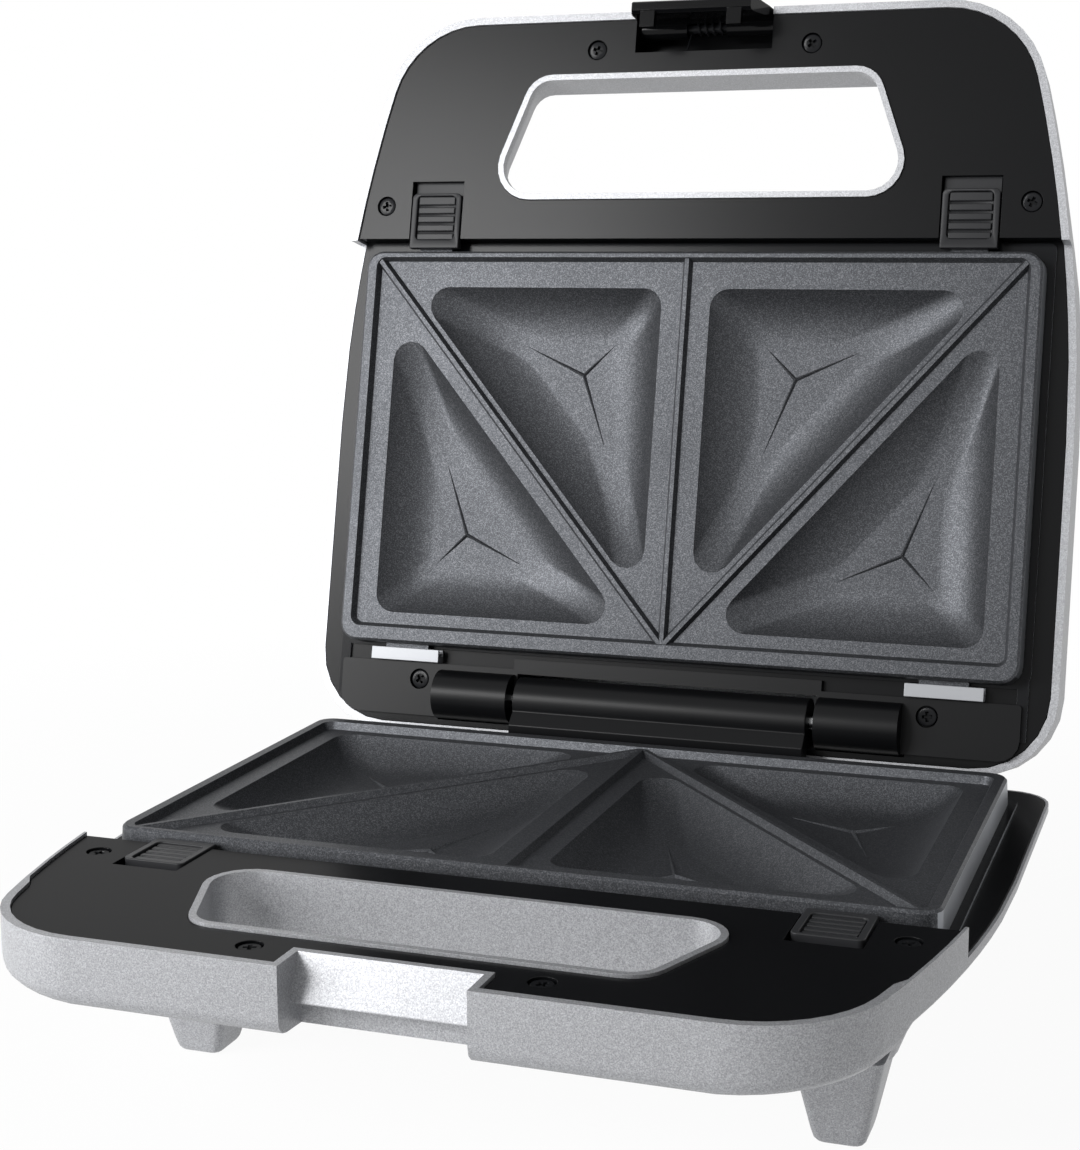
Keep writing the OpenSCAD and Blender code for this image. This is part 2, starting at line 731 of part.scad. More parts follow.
module element_clamps() {
    for (x = [-30, 30])
        difference() {
            block(x - 4, x + 4, loop_front - 5, loop_front + 5, -dish_z, -element_z + 1);
            rod_x(x - 5, x + 5, loop_front, -element_z, element_d / 2 + pin_fit);
            block(x - 5, x + 5, loop_front - element_d / 2 + 0.3, loop_front + element_d / 2 - 0.3, -element_z, 0);
        }
    two_sides()
        difference() {
            block(loop_x - 5, loop_x + 5, 66, 74, -dish_z, -element_z + 1);
            rod_y(loop_x, 65, 75, -element_z, element_d / 2 + pin_fit);
            block(loop_x - element_d / 2 + 0.3, loop_x + element_d / 2 - 0.3, 65, 75, -element_z, 0);
        }
}

module lower_heating_element() {
    color("#5a5550")
    lower()
        element();
}

module upper_heating_element() {
    color("#5a5550")
    upper()
        element();
}

module lower_heat_tray() {
    color("#c9cbcd")
    lower()
        heat_tray(false);
}

module upper_heat_tray() {
    color("#c9cbcd")
    upper()
        heat_tray(true);
}

module lower_element_clamps() {
    color("#c9cbcd")
    lower()
        element_clamps();
}

module upper_element_clamps() {
    color("#c9cbcd")
    upper()
        element_clamps();
}

// light metal clips that hold a plate's rear lugs
module rear_clips() {
    x = plate_w / 2;
    two_sides()
        difference() {
            block(x - 36.5, x - 11, tray_back + gap, hinge_y - 10.8, -flange_z, -4.5);
            block(x - 38, x - 10, plate_d, tray_back + 2.5, -flange_z + 1, -5.3);
        }
}

module lower_rear_clips() {
    color("#d4d6d8")
    lower()
        rear_clips();
}

module upper_rear_clips() {
    color("#d4d6d8")
    upper()
        rear_clips();
}

// Plate release buttons and their springs

module button(x) {
    w = button_w / 2;
    translate([x, 0, 0])
        difference() {
            union() {
                block(-w, w, button_front, deck_back - 2, -slot_z + slip, -cover_z + 0.5);
                block(-w, w, deck_back - 3, -1.4, -cover_z - cover_t, -cover_z + 0.5);
                block(-w, w, slot_front - 8.5, button_front + 1, -tongue_z - 0.9, -tongue_z);
            }
            block(-w + 2.5, w - 2.5, button_front + 1.5, deck_back - 2.5, -cover_z - 1, 10);
            rod_y(0, button_front - 1, button_front + 3, -spring_z, coil_r + 0.6);
        }
    translate([x, 0, 0])
        for (i = [0:4])
            block(-w + 2.4, w - 2.4, button_front + 2.6 + 2.4 * i, button_front + 3.8 + 2.4 * i,
                -cover_z - 1.2, -cover_z + 0.2);
}

module button_spring(x) {
    turns = 5;
    y0 = spring_front + 0.45;
    y1 = button_front + 2.6;
    translate([x, 0, -spring_z])
        wire([for (i = [0:8 * turns]) let (t = i / 8 / turns)
            [coil_r * cos(45 * i), y0 + (y1 - y0) * t, coil_r * sin(45 * i)]], 0.35, [0, 1, 0], 5);
}

module lower_left_button() {
    color("#2a2b2f")
    lower()
        button(-button_x);
}

module lower_right_button() {
    color("#2a2b2f")
    lower()
        button(button_x);
}

module upper_left_button() {
    color("#2a2b2f")
    upper()
        button(-button_x);
}

module upper_right_button() {
    color("#2a2b2f")
    upper()
        button(button_x);
}

module lower_left_spring() {
    color("#b9bcc0")
    lower()
        button_spring(-button_x);
}

module lower_right_spring() {
    color("#b9bcc0")
    lower()
        button_spring(button_x);
}

module upper_left_spring() {
    color("#b9bcc0")
    upper()
        button_spring(-button_x);
}

module upper_right_spring() {
    color("#b9bcc0")
    upper()
        button_spring(button_x);
}

// Latch

module latch_lever() {
    w = latch_w / 2;
    color("#1a1b1d")
    lid_frame()
        difference() {
            union() {
                along_x(-w, w)
                    polygon([[fy + 0.3, 13.5], [fy + 0.3, 0], [fy + 0.8, -8], [fy + 1.8, -14], [fy + 2.8, -16],
                        [fy + 5.4, -16], [fy + 6.3, -15], [fy + 6.3, -catch_under], [fy + 3.7, 1],
                        [fy + 3.7, 14.6], [fy + 1.3, 14.6]]);
                two_sides() {
                    rod_x(7, w, latch_y, latch_z, 3.2);
                    block(12.4, 17.4, fy + 5, fy + 11, -catch_under - 2.8, -catch_under - gap);
                }
            }
            rod_x(-60, 60, latch_y, latch_z, latch_r + pin_fit);
            rod_x(-6.4, 6.4, latch_y, latch_z, 3);
            two_sides()
                translate([w, 0, 3])
                    rotate([0, 9, 0])
                        block(0, 20, fy - 20, fy + 30, -40, 0);
        }
}

module latch_pin() {
    color("#b9bcc0")
    lid_frame()
        rod_x(-recess_x - 1.3, recess_x + 1.3, latch_y, latch_z, latch_r);
}

module latch_spring() {
    r = latch_r + 0.7;
    color("#b9bcc0")
    lid_frame()
        translate([0, latch_y, latch_z])
            wire(concat(
                [[-5.6, house_back - latch_y - 0.4, -5.5], [-5.2, 2.8, -3]],
                [for (i = [0:32]) [-5 + 10 * i / 32, r * cos(45 * i), r * sin(45 * i)]],
                [[5.2, 1.4, -3.5], [5.6, -0.5, -6.5]]), 0.35, [1, 0, 0], 5);
}

// Feet

module foot(sx, y) {
    lower()
        difference() {
            translate([sx * foot_at[0], y, 0])
                loft([for (s = [[-40, 5.7], [-62, 1], [-split_h + 1.5, 0.3], [-split_h + 0.5, -0.4]])
                    at_z(rect_half(sole_x + s[1], -sole_y - s[1], sole_y + s[1], 2.4, 2.4, 3), s[0])]);
            loft(belly_rings);
            translate([sx * foot_at[0], y, 0])
                sheet(rect_half(sole_x - 1.3, 1.3 - sole_y, sole_y - 1.3, 1.8, 1.8, 3), -split_h - 1, -split_h + 1);
        }
}

module front_left_foot() {
    color("silver")
    foot(-1, foot_at[1]);
}

module front_right_foot() {
    color("silver")
    foot(1, foot_at[1]);
}

module rear_left_foot() {
    color("silver")
    foot(-1, foot_at[1] + foot_step);
}

module rear_right_foot() {
    color("silver")
    foot(1, foot_at[1] + foot_step);
}

module foot_pads() {
    color("#3a3b3d")
    lower()
        two_sides()
            for (y = [foot_at[1], foot_at[1] + foot_step])
                translate([foot_at[0], y, 0])
                    sheet(rect_half(sole_x - 1.5, 1.5 - sole_y, sole_y - 1.5, 1.6, 1.6, 3), -split_h, -split_h + 1);
}

// Screws

module screw(p, z, l) {
    difference() {
        union() {
            rod_z(p, z, z + 1.9, head_r);
            rod_z(p, z - l, z + 0.5, shank_r);
        }
        translate([p[0], p[1], z + 0.8])
            for (a = [20, 110])
                rotate([0, 0, a])
                    block(-2, 2, -0.4, 0.4, 0, 2);
    }
}

module base_screws() {
    color("#3c3e42")
    lower()
        two_sides()
            for (p = deck_screws)
                screw(p, -sink_z, 8);
}

module lid_screws() {
    color("#3c3e42")
    upper()
        two_sides() {
            for (p = deck_screws)
                screw(p, -sink_z, 8);
            screw(panel_screw, -flange_z, 9);
        }
}

// Electrical parts

module thermostat() {
    color("#8b8d90")
    lower() {
        rod_z([0, 70], -dish_z - tray_t - 3, -dish_z - tray_t, 9);
        rod_z([0, 70], -dish_z - tray_t - 8, -dish_z - tray_t - 2, 7.5);
        for (x = [-4.5, 3])
            block(x, x + 1.5, 67, 73, -dish_z - tray_t - 13, -dish_z - tray_t - 7);
    }
}

module thermal_fuse() {
    color("#d8cfb8")
    lower() {
        rod_x(-52, -28, 70, -dish_z - tray_t - 2.2, 2.2);
        rod_x(-60, -20, 70, -dish_z - tray_t - 2.2, 0.6);
    }
}

module terminal_block() {
    floor_z = -belly_drop + shell_wall;
    block_y = belly_back - 30;
    color("#e4e2da")
    lower()
        difference() {
            block(cord_x - 52, cord_x - 18, block_y - 8, block_y + 8, floor_z, floor_z + 12);
            for (i = [0:2])
                let (x = cord_x - 46 + 11 * i) {
                    rod_z([x, block_y], floor_z + 6, floor_z + 20, 2.4);
                    rod_y(x, block_y - 9, block_y + 9, floor_z + 5, 1.6);
                }
        }
}

module cord_grommet() {
    color("#1d1e20")
    lower()
        difference() {
            union() {
                rod_y(cord_x, belly_back, belly_back + 2.5, -cord_z, 9);
                rod_y(cord_x, belly_back - 5.7, belly_back + 1, -cord_z, 6.2);
                rod_y(cord_x, belly_back - 5.7, belly_back - shell_wall - slip, -cord_z, 8);
            }
            rod_y(cord_x, belly_back - 20, belly_back + 20, -cord_z, cord_d / 2);
        }
}

module lens(x) {
    rod_z([x, 26], -lid_rise - 0.8, -lid_rise + shell_wall + 1, 3);
    rod_z([x, 26], -lid_rise + shell_wall + slip, -lid_rise + shell_wall + 1.5, 4.2);
}

module power_lens() {
    color("#a33a2c")
    upper()
        lens(9);
}

module ready_lens() {
    color("#3f7d4a")
    upper()
        lens(-9);
}

module indicator_lamps() {
    color("#e9e4d0")
    upper()
        two_sides()
            rod_z([9, 26], -lid_rise + shell_wall + 1.5, -lid_rise + shell_wall + 9, 2.2);
}

base_shell();
base_cover();
base_hinge_bracket();
hinge_pin();
lower_plate();
lower_heating_element();
lower_heat_tray();
lower_element_clamps();
lower_rear_clips();
lower_left_button();
lower_right_button();
lower_left_spring();
lower_right_spring();
front_left_foot();
front_right_foot();
rear_left_foot();
rear_right_foot();
foot_pads();
base_screws();
thermostat();
thermal_fuse();
terminal_block();
cord_grommet();
lid_shell();
lid_cover();
lid_hinge_panel();
upper_plate();
upper_heating_element();
upper_heat_tray();
upper_element_clamps();
upper_rear_clips();
upper_left_button();
upper_right_button();
upper_left_spring();
upper_right_spring();
lid_screws();
latch_lever();
latch_pin();
latch_spring();
power_lens();
ready_lens();
indicator_lamps();
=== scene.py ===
"""Sandwich toaster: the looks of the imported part, laid out as an add-on and run as a script."""

import json
import math

import bmesh
import bpy
from bpy.props import FloatProperty, FloatVectorProperty, IntProperty, PointerProperty
from mathutils import Matrix, Vector

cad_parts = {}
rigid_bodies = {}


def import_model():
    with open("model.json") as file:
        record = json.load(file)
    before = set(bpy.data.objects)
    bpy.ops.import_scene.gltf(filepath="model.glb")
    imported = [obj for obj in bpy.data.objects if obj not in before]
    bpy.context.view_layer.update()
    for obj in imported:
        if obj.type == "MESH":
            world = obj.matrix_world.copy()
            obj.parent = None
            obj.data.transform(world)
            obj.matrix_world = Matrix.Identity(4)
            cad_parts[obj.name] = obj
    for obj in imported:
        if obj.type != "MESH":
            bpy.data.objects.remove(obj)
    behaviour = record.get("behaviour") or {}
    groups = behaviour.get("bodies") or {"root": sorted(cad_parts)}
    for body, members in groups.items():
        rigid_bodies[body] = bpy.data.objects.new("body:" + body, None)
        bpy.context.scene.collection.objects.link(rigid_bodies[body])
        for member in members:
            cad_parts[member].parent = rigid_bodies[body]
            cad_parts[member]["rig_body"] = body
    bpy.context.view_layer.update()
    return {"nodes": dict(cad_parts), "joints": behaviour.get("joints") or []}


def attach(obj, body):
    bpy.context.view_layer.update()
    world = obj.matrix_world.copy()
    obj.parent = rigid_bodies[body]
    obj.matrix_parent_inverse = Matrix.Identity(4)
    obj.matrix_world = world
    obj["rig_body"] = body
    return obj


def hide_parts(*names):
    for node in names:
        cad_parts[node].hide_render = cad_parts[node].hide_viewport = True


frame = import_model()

bl_info = {
    "name": "Sandwich Toaster Builder",
    "version": (1, 0, 0),
    "blender": (4, 5, 0),
    "location": "View3D > Sidebar > Toaster",
    "description": "Dresses a packed sandwich toaster and adds its fine pieces, finishes and studio",
    "category": "Object",
}

MM = 0.001
MERGE_DISTANCE = 0.004 * MM
JOINTS = {joint["name"]: joint for joint in frame["joints"]}

# Each half is thought of as shut: y = 0 at the plate's front rim, z = 0 where the plates meet,
# and -z running into the half. The lid's hinge gives the place of both.
HINGE_ROW = Vector(JOINTS["lid_hinge"]["pos_m"])
HINGE = Vector((0, 155.5, 7)) * MM
OPEN_ANGLE = math.radians(JOINTS["lid_hinge"]["range_deg"][1])


def half_place(half):
    """The matrix that takes a half drawn shut to where it is."""
    shut = Matrix.Translation(HINGE_ROW - HINGE)
    if half == "base":
        return shut
    swing = Matrix.Translation(HINGE) @ Matrix.Rotation(-OPEN_ANGLE, 4, "X") @ Matrix.Translation(-HINGE)
    if half == "lever":
        return shut @ swing
    return shut @ swing @ Matrix.Diagonal((1, 1, -1, 1))


# Modelling by hand


def deselect():
    if bpy.context.object and bpy.context.object.mode != "OBJECT":
        bpy.ops.object.mode_set(mode="OBJECT")
    bpy.ops.object.select_all(action="DESELECT")


def pick(piece):
    deselect()
    piece.select_set(True)
    bpy.context.view_layer.objects.active = piece


def apply_modifier(piece, kind, **values):
    pick(piece)
    modifier = piece.modifiers.new(kind.title(), kind)
    for key, value in values.items():
        setattr(modifier, key, value)
    bpy.ops.object.modifier_apply(modifier=modifier.name)


def weigh_edges(piece, limit, test):
    """Marks the edges to round: the sharp ones, and every edge with both ends in a place."""
    mesh = bmesh.new()
    mesh.from_mesh(piece.data)
    weight = mesh.edges.layers.float.new("bevel_weight_edge")
    for edge in mesh.edges:
        angle = math.degrees(edge.calc_face_angle(0))
        if angle > limit or (angle > 5 and all(test(vertex.co) for vertex in edge.verts)):
            edge[weight] = 1
    mesh.to_mesh(piece.data)
    mesh.free()


def soften(piece, width, segments=2, limit=35, smooth=38, method="ANGLE"):
    """Rounds the edges sharper than limit degrees, or the marked ones, and shades the rest smooth."""
    if width > 0:
        apply_modifier(
            piece, "BEVEL", width=width, segments=segments, limit_method=method,
            angle_limit=math.radians(limit), use_clamp_overlap=True, miter_outer="MITER_ARC")
    pick(piece)
    bpy.ops.object.shade_smooth_by_angle(angle=math.radians(smooth))
    apply_modifier(piece, "WEIGHTED_NORMAL", keep_sharp=True)


def copy_of_node(node, name):
    """A merged copy of a CAD node's mesh, with its flat faces whole again."""
    piece = bpy.data.objects.new(name, frame["nodes"][node].data.copy())
    bpy.context.scene.collection.objects.link(piece)
    piece.data.materials.clear()
    pick(piece)
    bpy.ops.object.mode_set(mode="EDIT")
    bpy.ops.mesh.select_all(action="SELECT")
    bpy.ops.mesh.remove_doubles(threshold=MERGE_DISTANCE)
    bpy.ops.mesh.dissolve_limited(angle_limit=math.radians(0.6))
    bpy.ops.object.mode_set(mode="OBJECT")
    return piece


def add_block(name, low, high):
    """A box between two corners, in millimetres of a half drawn shut."""
    deselect()
    bpy.ops.mesh.primitive_cube_add(
        size=1, location=[(a + b) / 2 * MM for a, b in zip(low, high)],
        scale=[(b - a) * MM for a, b in zip(low, high)])
    piece = bpy.context.object
    piece.name = name
    bpy.ops.object.transform_apply(location=True, rotation=True, scale=True)
    return piece


def add_disc(name, radius, z0, z1, sides=32):
    """An upright cylinder on the Z axis, in millimetres."""
    deselect()
    bpy.ops.mesh.primitive_cylinder_add(
        vertices=sides, radius=radius * MM, depth=(z1 - z0) * MM, location=(0, 0, (z0 + z1) / 2 * MM))
    piece = bpy.context.object
    piece.name = name
    bpy.ops.object.transform_apply(location=True, rotation=True, scale=True)
    return piece


def edit_faces(piece, test):
    """Opens a piece in edit mode with the faces selected whose centre and normal pass a test."""
    pick(piece)
    bpy.ops.object.mode_set(mode="EDIT")
    bpy.ops.mesh.select_mode(type="FACE")
    bpy.ops.mesh.select_all(action="DESELECT")
    bpy.ops.object.mode_set(mode="OBJECT")
    found = 0
    for face in piece.data.polygons:
        face.select = bool(test(face.center / MM, face.normal))
        found += face.select
    if not found:
        raise RuntimeError("no face found on " + piece.name)
    bpy.ops.object.mode_set(mode="EDIT")


def edit_edges(piece, test):
    """Opens a piece in edit mode with the edges selected whose two ends pass a test."""
    pick(piece)
    bpy.ops.object.mode_set(mode="EDIT")
    bpy.ops.mesh.select_mode(type="EDGE")
    bpy.ops.mesh.select_all(action="DESELECT")
    bpy.ops.object.mode_set(mode="OBJECT")
    points = [vertex.co / MM for vertex in piece.data.vertices]
    found = 0
    for edge in piece.data.edges:
        edge.select = bool(test(*(points[index] for index in edge.vertices)))
        found += edge.select
    if not found:
        raise RuntimeError("no edge found on " + piece.name)
    bpy.ops.object.mode_set(mode="EDIT")


def split_at(piece, place, normal):
    """Cuts all faces along a plane and keeps both sides."""
    pick(piece)
    bpy.ops.object.mode_set(mode="EDIT")
    bpy.ops.mesh.select_all(action="SELECT")
    bpy.ops.mesh.bisect(plane_co=[part * MM for part in place], plane_no=normal)
    bpy.ops.object.mode_set(mode="OBJECT")


def extrude(shift):
    """Extrudes the selected faces by a shift in millimetres."""
    bpy.ops.mesh.extrude_region_move(
        TRANSFORM_OT_translate={"value": [part * MM for part in shift]})


def join(*pieces):
    deselect()
    for piece in pieces:
        piece.select_set(True)
    bpy.context.view_layer.objects.active = pieces[0]
    bpy.ops.object.join()
    bpy.ops.object.transform_apply(location=True, rotation=True, scale=True)
    return pieces[0]


def cut(piece, cutter):
    apply_modifier(piece, "BOOLEAN", operation="DIFFERENCE", solver="EXACT", object=cutter)
    bpy.data.objects.remove(cutter)


def twin(piece, name, shift, turn=0.0):
    """A copy with its own mesh, turned about Z and moved in millimetres."""
    copy = bpy.data.objects.new(name, piece.data.copy())
    bpy.context.scene.collection.objects.link(copy)
    copy.data.transform(Matrix.Translation(Vector(shift) * MM) @ Matrix.Rotation(turn, 4, "Z"))
    return copy


def seat(piece, half):
    """Takes a piece drawn in a shut half to where that half is."""
    piece.data.transform(half_place(half))
    if half != "base":
        pick(piece)
        bpy.ops.object.mode_set(mode="EDIT")
        bpy.ops.mesh.select_all(action="SELECT")
        bpy.ops.mesh.normals_make_consistent(inside=False)
        bpy.ops.object.mode_set(mode="OBJECT")
    return piece


def fit(piece, node, slot, *materials):
    """Gives a piece its finishes and its body, in place of its CAD node."""
    for material in materials:
        piece.data.materials.append(material)
    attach(piece, frame["nodes"][node]["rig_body"])
    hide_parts(node)
    return piece


def dress_node(node, prefix, slot, material, edge, segments=2, limit=40):
    """Rounds the edges of a copy of a CAD node and finishes it."""
    piece = copy_of_node(node, prefix + "_" + node)
    soften(piece, edge, segments, limit)
    return fit(piece, node, slot, material)


def coat_node(node, material):
    """Finishes a CAD node whose shape stays as it is."""
    for slot in frame["nodes"][node].material_slots:
        slot.material = material


# Finishes


def new_group(name, inputs, outputs):
    group = bpy.data.node_groups.new(name, "ShaderNodeTree")
    for label, kind, value in inputs:
        socket = group.interface.new_socket(name=label, in_out="INPUT", socket_type=kind)
        if value is not None:
            socket.default_value = value
    for label in outputs:
        group.interface.new_socket(name=label, in_out="OUTPUT", socket_type="NodeSocketFloat")
    return group, group.nodes.new("NodeGroupInput"), group.nodes.new("NodeGroupOutput")


def add_node(tree, kind, inputs, **settings):
    """Adds a shader node, sets it and wires or fills its inputs."""
    node = tree.nodes.new(kind)
    for key, value in settings.items():
        setattr(node, key, value)
    for key, value in inputs.items():
        if isinstance(value, bpy.types.NodeSocket):
            tree.links.new(value, node.inputs[key])
        else:
            node.inputs[key].default_value = value
    return node


def stretch(tree, value, low, high, start=0.0, end=1.0):
    return add_node(tree, "ShaderNodeMapRange", {
        "Value": value, "From Min": low, "From Max": high, "To Min": start, "To Max": end}).outputs[0]


def blend_colour(tree, factor, first, second):
    """Mixes two colours, each of them a socket or three values."""
    first, second = (
        colour if isinstance(colour, bpy.types.NodeSocket) else (*colour, 1) for colour in (first, second))
    return add_node(tree, "ShaderNodeMix", {0: factor, 6: first, 7: second}, data_type="RGBA").outputs[2]


def flake_group():
    """Metal flake in a coating: a mask of single bright flakes and a fine mottle."""
    group, given, result = new_group("Metal Flake", [
        ("Vector", "NodeSocketVector", None), ("Scale", "NodeSocketFloat", 2200.0),
        ("Gap", "NodeSocketFloat", 0.7)], ["Flake", "Mottle"])
    cells = add_node(group, "ShaderNodeTexVoronoi", {
        "Vector": given.outputs["Vector"], "Scale": given.outputs["Scale"]})
    split = add_node(group, "ShaderNodeSeparateColor", {"Color": cells.outputs["Color"]})
    flake = add_node(group, "ShaderNodeMapRange", {
        "Value": split.outputs["Red"], "From Min": given.outputs["Gap"]})
    noise = add_node(group, "ShaderNodeTexNoise", {
        "Vector": given.outputs["Vector"], "Scale": 2600.0, "Detail": 2.0, "Roughness": 0.6})
    group.links.new(flake.outputs[0], result.inputs["Flake"])
    group.links.new(stretch(group, noise.outputs[0], 0.32, 0.68), result.inputs["Mottle"])
    return group


def grain_group():
    """Moulded or cast grain: a height for a Bump node and a slow drift over the surface."""
    group, given, result = new_group("Moulded Grain", [
        ("Vector", "NodeSocketVector", None), ("Scale", "NodeSocketFloat", 1500.0)], ["Height", "Drift"])
    fine = add_node(group, "ShaderNodeTexNoise", {
        "Vector": given.outputs["Vector"], "Scale": given.outputs["Scale"], "Detail": 3.0})
    slow = add_node(group, "ShaderNodeTexNoise", {
        "Vector": given.outputs["Vector"], "Scale": 18.0, "Detail": 2.0})
    group.links.new(fine.outputs[0], result.inputs["Height"])
    group.links.new(stretch(group, slow.outputs[0], 0.3, 0.7), result.inputs["Drift"])
    return group


def placed_group(tree, name, build, inputs):
    """Puts a shared effect into a material, building it the first time."""
    effect = bpy.data.node_groups.get(name) or build()
    return add_node(tree, "ShaderNodeGroup", inputs, node_tree=effect)


def finish(name, colour, change, gloss, grain, bump, depth, flake=None, glint=None, **sockets):
    """A finish: a tone that drifts by change, gloss between two roughnesses, fine grain and flake.

    flake is the flakes' size in millimetres, the share of the surface without them and their strength.
    The ending of the name keeps it apart from the CAD's own materials.
    """
    name += "_finish"
    found = bpy.data.materials.get(name)
    if found:
        return found
    material = bpy.data.materials.new(name)
    material.use_nodes = True
    tree = material.node_tree
    shader = tree.nodes["Principled BSDF"]
    place = add_node(tree, "ShaderNodeTexCoord", {}).outputs["Object"]
    grained = placed_group(tree, "Moulded Grain", grain_group, {"Vector": place, "Scale": grain})
    dark = [part * (1 - change) for part in colour]
    light = [min(1.0, part * (1 + change)) for part in colour]
    tone = grained.outputs["Drift"]
    rough = stretch(tree, tone, 0, 1, *gloss)
    if flake:
        size, gap, strength = flake
        flaked = placed_group(tree, "Metal Flake", flake_group, {
            "Vector": place, "Scale": 1 / (size * MM), "Gap": gap})
        base = blend_colour(tree, flaked.outputs["Mottle"], dark, light)
        mask = add_node(tree, "ShaderNodeMath", {
            0: flaked.outputs["Flake"], 1: strength}, operation="MULTIPLY").outputs[0]
        base = blend_colour(tree, mask, base, glint)
    else:
        base = blend_colour(tree, tone, dark, light)
    bumped = add_node(tree, "ShaderNodeBump", {
        "Height": grained.outputs["Height"], "Strength": bump, "Distance": depth * MM})
    tree.links.new(base, shader.inputs["Base Color"])
    tree.links.new(rough, shader.inputs["Roughness"])
    tree.links.new(bumped.outputs[0], shader.inputs["Normal"])
    for key, value in sockets.items():
        shader.inputs[key.replace("_", " ").title().replace("Ior", "IOR")].default_value = value
    return material


def silver_paint():
    return finish("silver_paint", (0.33, 0.335, 0.35), 0.25, (0.42, 0.48), 2600, 0.4, 0.03,
                  flake=(0.27, 0.6, 0.4), glint=(0.66, 0.67, 0.7), metallic=0.45,
                  coat_weight=0.1, coat_roughness=0.2)


def black_moulding():
    return finish("black_moulding", (0.004, 0.0042, 0.0048), 0.08, (0.4, 0.5), 1800, 0.06, 0.02,
                  specular_ior_level=0.0, coat_weight=0.26, coat_roughness=0.25)


def hinge_black():
    return finish("hinge_black", (0.005, 0.0052, 0.0058), 0.1, (0.4, 0.5), 1400, 0.12, 0.03,
                  specular_ior_level=0.0, coat_weight=0.3, coat_roughness=0.34)


def gloss_black():
    return finish("gloss_black", (0.003, 0.0031, 0.0035), 0.1, (0.3, 0.4), 900, 0.04, 0.03,
                  specular_ior_level=0.0, coat_weight=0.3, coat_roughness=0.12)


def button_grey():
    return finish("button_grey", (0.022, 0.0225, 0.0245), 0.12, (0.34, 0.42), 1700, 0.1, 0.03,
                  specular_ior_level=0.2)


def non_stick():
    return finish("non_stick", (0.054, 0.0565, 0.062), 0.3, (0.42, 0.48), 2800, 0.6, 0.04,
                  flake=(0.27, 0.55, 0.36), glint=(0.24, 0.245, 0.26), metallic=0.6,
                  specular_ior_level=0.1)


# Painted shade: a black finish for the bare front and rear skirts, which sit in the deck edge's shadow.
def painted_shade_skirt():
    return finish("painted_shade_skirt", (0.014, 0.0145, 0.016), 0.15, (0.4, 0.5), 1800, 0.2, 0.03,
                  specular_ior_level=0.2)


def bare_aluminium():
    return finish("bare_aluminium", (0.3, 0.315, 0.34), 0.06, (0.36, 0.44), 700, 0.12, 0.03, metallic=0.6)


def tray_metal():
    return finish("tray_metal", (0.36, 0.375, 0.4), 0.06, (0.3, 0.42), 600, 0.1, 0.03, metallic=0.6)


def clip_metal():
    return finish("clip_metal", (0.4, 0.41, 0.43), 0.05, (0.4, 0.46), 600, 0.1, 0.02, metallic=0.2,
                  specular_ior_level=0.3)


def element_steel():
    return finish("element_steel", (0.13, 0.11, 0.1), 0.25, (0.4, 0.55), 500, 0.2, 0.04, metallic=0.85)


def bright_steel():
    return finish("bright_steel", (0.55, 0.56, 0.57), 0.08, (0.22, 0.3), 800, 0.08, 0.02, metallic=1.0)


# Dark steel for the screws, the latch pin and the spring; on the heat trays the same finish is painted
# shade.
def dark_steel():
    return finish("dark_steel", (0.012, 0.0125, 0.014), 0.15, (0.26, 0.34), 1200, 0.12, 0.02,
                  specular_ior_level=0.0, coat_weight=0.2, coat_roughness=0.2)


def pad_rubber():
    return finish("pad_rubber", (0.03, 0.03, 0.031), 0.15, (0.7, 0.85), 900, 0.4, 0.06)


def ceramic():
    return finish("ceramic", (0.74, 0.72, 0.66), 0.06, (0.3, 0.45), 400, 0.1, 0.04)


def fuse_sleeve():
    return finish("fuse_sleeve", (0.62, 0.56, 0.42), 0.12, (0.6, 0.75), 1400, 0.4, 0.06)


def red_lens():
    return finish("red_lens", (0.45, 0.03, 0.02), 0.1, (0.1, 0.16), 300, 0.02, 0.02,
                  transmission_weight=0.35, ior=1.49)


def green_lens():
    return finish("green_lens", (0.04, 0.3, 0.09), 0.1, (0.1, 0.16), 300, 0.02, 0.02,
                  transmission_weight=0.35, ior=1.49)


# Settings


class ShellSettings(bpy.types.PropertyGroup):
    edge: FloatProperty(
        name="Edge radius", description="Radius of the shells' moulded edges", default=0.5 * MM,
        min=0.0, max=1.5 * MM, subtype="DISTANCE", unit="LENGTH")
    foot_edge: FloatProperty(
        name="Foot edge radius", description="Radius of the feet's edges", default=0.5 * MM,
        min=0.0, max=1.2 * MM, subtype="DISTANCE", unit="LENGTH")


class CoverSettings(bpy.types.PropertyGroup):
    edge: FloatProperty(
        name="Edge radius", description="Radius of the black covers' edges", default=0.35 * MM,
        min=0.0, max=1.0 * MM, subtype="DISTANCE", unit="LENGTH")


class PlateSettings(bpy.types.PropertyGroup):
    edge: FloatProperty(
        name="Edge radius", description="Radius of the plates' rims, ridges and pocket edges",
        default=0.45 * MM, min=0.0, max=1.0 * MM, subtype="DISTANCE", unit="LENGTH")


class ButtonSettings(bpy.types.PropertyGroup):
    edge: FloatProperty(
        name="Edge radius", description="Radius of the release buttons' edges", default=0.35 * MM,
        min=0.0, max=0.5 * MM, subtype="DISTANCE", unit="LENGTH")
    ribs: IntProperty(
        name="Ribs", description="Grip ribs on each release button", default=5, min=2, max=7)


